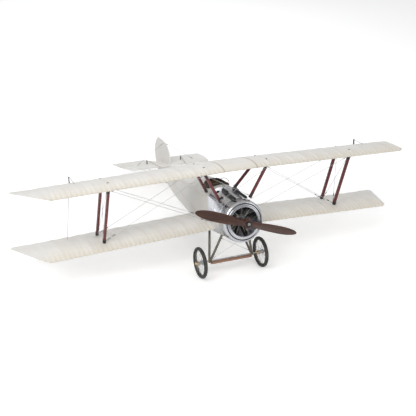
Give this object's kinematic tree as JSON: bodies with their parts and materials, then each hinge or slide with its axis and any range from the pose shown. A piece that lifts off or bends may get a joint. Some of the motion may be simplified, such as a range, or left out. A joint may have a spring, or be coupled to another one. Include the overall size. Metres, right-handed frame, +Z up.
{
  "type": "biplane scale model",
  "caption": "Display model of a single-seat rotary-engined biplane with fabric-covered wings, wire bracing, turning propeller and wheels, and working control surfaces.",
  "frame": {"origin": "on the ground under the middle of the overall length and span", "axes": "+X to the aircraft's port side, +Y towards the tail, +Z up; the aircraft stands nose-up on its wheels and tail skid"},
  "size_m": [1.5012, 0.9512, 0.4316],
  "materials": {
    "doped_fabric": "translucent doped linen, satin",
    "spruce_wood": "oiled",
    "burgundy_wood": "varnished",
    "walnut_wood": "varnished",
    "polished_aluminium": "brushed and polished",
    "engine_black": "satin black cast",
    "engine_steel": "polished",
    "black_metal": "satin black",
    "wire_steel": "drawn wire",
    "olive_paint": "satin grey-olive",
    "tyre_rubber": "matt",
    "dark_leather": "worn"
  },
  "bodies": {
    "airframe": {"top_wing_covering_centre": "doped_fabric", "top_wing_covering_port": "doped_fabric", "top_wing_covering_starboard": "doped_fabric", "top_wing_spars": "spruce_wood", "top_wing_ribs": "spruce_wood", "lower_wing_covering_port": "doped_fabric", "lower_wing_covering_starboard": "doped_fabric", "lower_wing_spars": "spruce_wood", "lower_wing_ribs": "spruce_wood", "aileron_control_wires": "wire_steel", "interplane_struts": "burgundy_wood", "cabane_struts": "burgundy_wood", "strut_fittings": "black_metal", "fuselage_covering": "doped_fabric", "side_panels": "polished_aluminium", "top_decking": "polished_aluminium", "machine_guns": "black_metal", "fuselage_frame": "spruce_wood", "firewall": "polished_aluminium", "instrument_panel": "walnut_wood", "pilot_seat": "dark_leather", "control_column": "black_metal", "cockpit_coaming": "dark_leather", "cowling": "polished_aluminium", "engine_crankcase": "engine_black", "engine_cylinders": "engine_black", "engine_pipes": "engine_steel", "axle": "engine_steel", "axle_fairing": "walnut_wood", "axle_bindings": "black_metal", "undercarriage_legs": "olive_paint", "tailplane": "doped_fabric", "fin": "doped_fabric", "tail_skid": "spruce_wood", "wing_bracing_wires": "wire_steel", "wire_turnbuckles": "wire_steel", "undercarriage_wires": "wire_steel", "tail_bracing_wires": "wire_steel", "tail_control_wires": "wire_steel"},
    "propeller": {"propeller": "walnut_wood", "propeller_hub": "engine_steel", "propeller_shaft": "engine_steel"},
    "wheel_port": {"tyre_port": "tyre_rubber", "wheel_rim_port": "engine_steel", "wheel_hub_and_spokes_port": "engine_steel"},
    "wheel_starboard": {"tyre_starboard": "tyre_rubber", "wheel_rim_starboard": "engine_steel", "wheel_hub_and_spokes_starboard": "engine_steel"},
    "top_aileron_port": {"top_aileron_port": "doped_fabric", "aileron_horn_port": "black_metal"},
    "top_aileron_starboard": {"top_aileron_starboard": "doped_fabric", "aileron_horn_starboard": "black_metal"},
    "lower_aileron_port": {"lower_aileron_port": "doped_fabric"},
    "lower_aileron_starboard": {"lower_aileron_starboard": "doped_fabric"},
    "aileron_link_port": {"aileron_link_port": "wire_steel"},
    "aileron_link_starboard": {"aileron_link_starboard": "wire_steel"},
    "elevators": {"elevators": "doped_fabric", "elevator_horns": "black_metal"},
    "rudder": {"rudder": "doped_fabric", "rudder_horns": "black_metal"}
  },
  "joints": [
    {"name": "propeller_spin", "type": "hinge", "parent": "airframe", "child": "propeller", "pos_m": [0, -0.45261, 0.25924], "axis": [0, -0.9542, 0.299], "continuous": true},
    {"name": "wheel_port_spin", "type": "hinge", "parent": "airframe", "child": "wheel_port", "pos_m": [0.121, -0.3522, 0.058], "axis": [1, 0, 0], "continuous": true},
    {"name": "wheel_starboard_spin", "type": "hinge", "parent": "airframe", "child": "wheel_starboard", "pos_m": [-0.121, -0.3522, 0.058], "axis": [1, 0, 0], "continuous": true},
    {"name": "aileron_hinge", "type": "hinge", "parent": "airframe", "child": "top_aileron_port", "pos_m": [0.55698, -0.22064, 0.3733], "axis": [0.9998, -0.0063, -0.02], "range_deg": [-18, 18], "deforming": ["aileron_control_wires"]},
    {"name": "lower_aileron_port_hinge", "type": "hinge", "parent": "airframe", "child": "lower_aileron_port", "pos_m": [0.5572, -0.17739, 0.12538], "axis": [0.9994, -0.0104, -0.0333], "range_deg": [-18, 18]},
    {"name": "top_aileron_starboard_hinge", "type": "hinge", "parent": "airframe", "child": "top_aileron_starboard", "pos_m": [-0.55698, -0.22064, 0.3733], "axis": [0.9998, 0.0063, 0.02], "range_deg": [-18, 18]},
    {"name": "lower_aileron_starboard_hinge", "type": "hinge", "parent": "airframe", "child": "lower_aileron_starboard", "pos_m": [-0.5572, -0.17739, 0.12538], "axis": [0.9994, 0.0104, 0.0333], "range_deg": [-18, 18]},
    {"name": "aileron_link_port_pivot", "type": "hinge", "parent": "top_aileron_port", "child": "aileron_link_port", "pos_m": [0.55698, -0.20537, 0.36852], "axis": [0.9998, -0.0063, -0.02], "range_deg": [-18, 18]},
    {"name": "aileron_link_starboard_pivot", "type": "hinge", "parent": "top_aileron_starboard", "child": "aileron_link_starboard", "pos_m": [-0.55698, -0.20537, 0.36852], "axis": [0.9998, 0.0063, 0.02], "range_deg": [-18, 18]},
    {"name": "elevator_hinge", "type": "hinge", "parent": "airframe", "child": "elevators", "pos_m": [0, 0.35576, 0.10337], "axis": [1, 0, 0], "range_deg": [-20, 20], "deforming": ["tail_control_wires"]},
    {"name": "rudder_hinge", "type": "hinge", "parent": "airframe", "child": "rudder", "pos_m": [0, 0.36626, 0.10008], "axis": [0, 0.299, 0.9542], "range_deg": [-20, 20]}
  ],
  "couplings": [
    {"joint": "lower_aileron_port_hinge", "follows": "aileron_hinge", "ratio": 1},
    {"joint": "top_aileron_starboard_hinge", "follows": "aileron_hinge", "ratio": -1},
    {"joint": "lower_aileron_starboard_hinge", "follows": "aileron_hinge", "ratio": -1},
    {"joint": "aileron_link_port_pivot", "follows": "aileron_hinge", "ratio": -1},
    {"joint": "aileron_link_starboard_pivot", "follows": "aileron_hinge", "ratio": 1}
  ]
}
